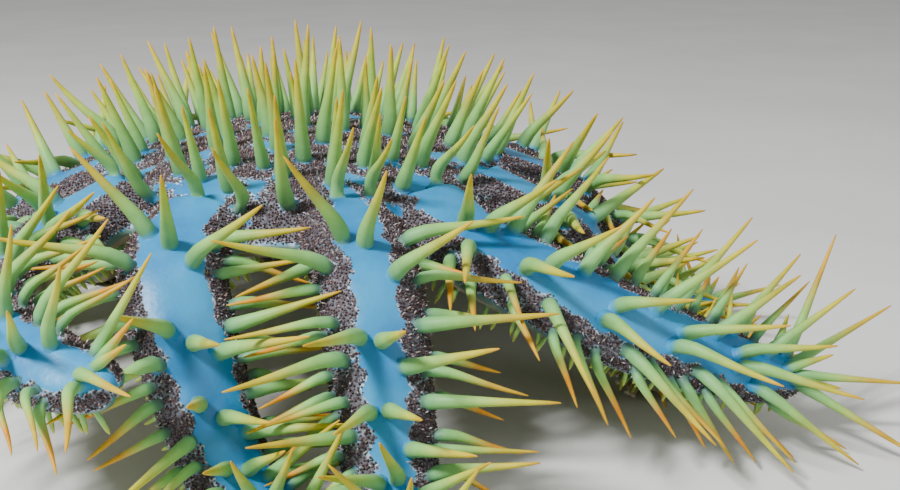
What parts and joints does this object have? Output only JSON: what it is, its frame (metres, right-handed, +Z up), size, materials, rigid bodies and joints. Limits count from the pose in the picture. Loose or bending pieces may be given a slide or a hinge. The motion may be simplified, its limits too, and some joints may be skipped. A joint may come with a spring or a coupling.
{
  "type": "crown of thorns starfish",
  "caption": "Life-size crown of thorns starfish, humped up with its disc off the ground and its arms curving down to rest, covered in long tapered spines.",
  "frame": {"origin": "centre of the bounding box's base, under the disc, on the plane that the arms rest on", "axes": "+Z up, -Y towards the front, where the pictured arms come down, +X to the viewer's right from the front"},
  "size_m": [0.3698, 0.3669, 0.1199],
  "materials": {
    "skin": "soft blue skin with a slight wet sheen",
    "spine": "pale grey-green at the base to yellow and orange at the tip",
    "papulae": "dark maroon soft tufts in a pale net",
    "tube_feet": "soft, slightly translucent, pale ochre"
  },
  "bodies": {
    "root": {"disc": "skin", "mouth": "tube_feet", "arm_01": "skin", "arm_02": "skin", "arm_03": "skin", "arm_04": "skin", "arm_05": "skin", "arm_06": "skin", "arm_07": "skin", "arm_08": "skin", "arm_09": "skin", "arm_10": "skin", "arm_11": "skin", "arm_12": "skin", "arm_13": "skin"}
  },
  "joints": []
}
